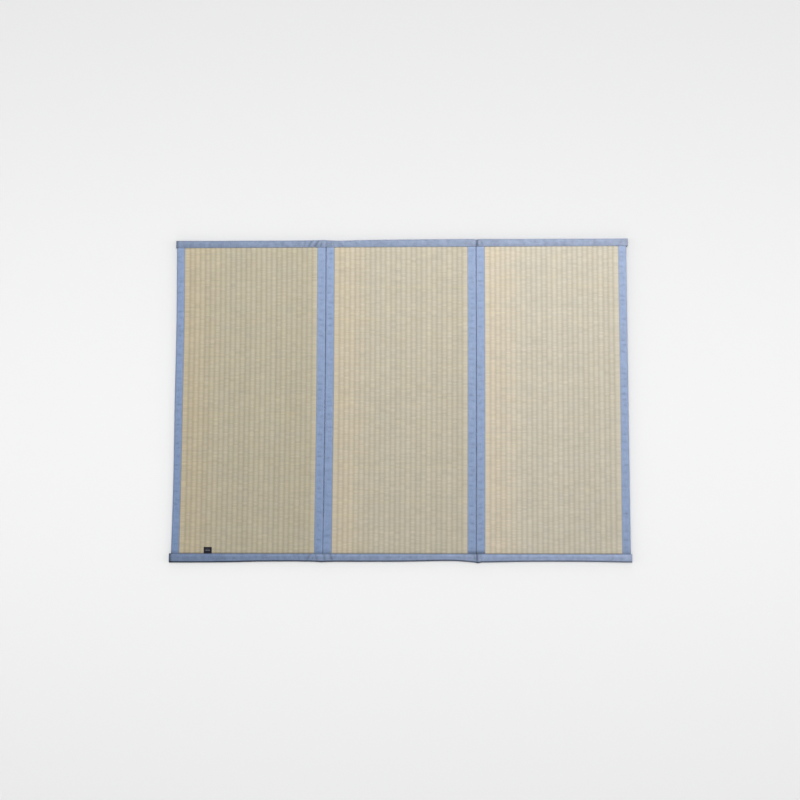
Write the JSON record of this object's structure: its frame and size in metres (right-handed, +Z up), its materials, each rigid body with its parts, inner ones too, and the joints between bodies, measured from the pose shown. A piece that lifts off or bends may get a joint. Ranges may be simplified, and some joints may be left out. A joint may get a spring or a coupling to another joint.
{
  "type": "tatami mat",
  "caption": "Folding tatami mat lying open: ribbed woven rush panels side by side, each edged in blue cloth tape and joined by one tape along each end.",
  "frame": {"origin": "middle of the mat's outline, on the surface it lies on", "axes": "+X across the three panels to the right, +Y along the panels to the far end, +Z up"},
  "size_m": [1.3292, 0.9446, 0.0108],
  "materials": {
    "rush": "woven rush, dry, faint sheen along the stalks",
    "binding_cloth": "plain cotton tape in light blue, matt",
    "label_cloth": "dark woven label, satin"
  },
  "bodies": {
    "root": {"rush_panel_left": "rush", "rush_panel_middle": "rush", "rush_panel_right": "rush", "binding_left_outer": "binding_cloth", "binding_left_inner": "binding_cloth", "binding_middle_left": "binding_cloth", "binding_middle_right": "binding_cloth", "binding_right_inner": "binding_cloth", "binding_right_outer": "binding_cloth", "band_far": "binding_cloth", "band_near": "binding_cloth", "label": "label_cloth"}
  },
  "joints": []
}
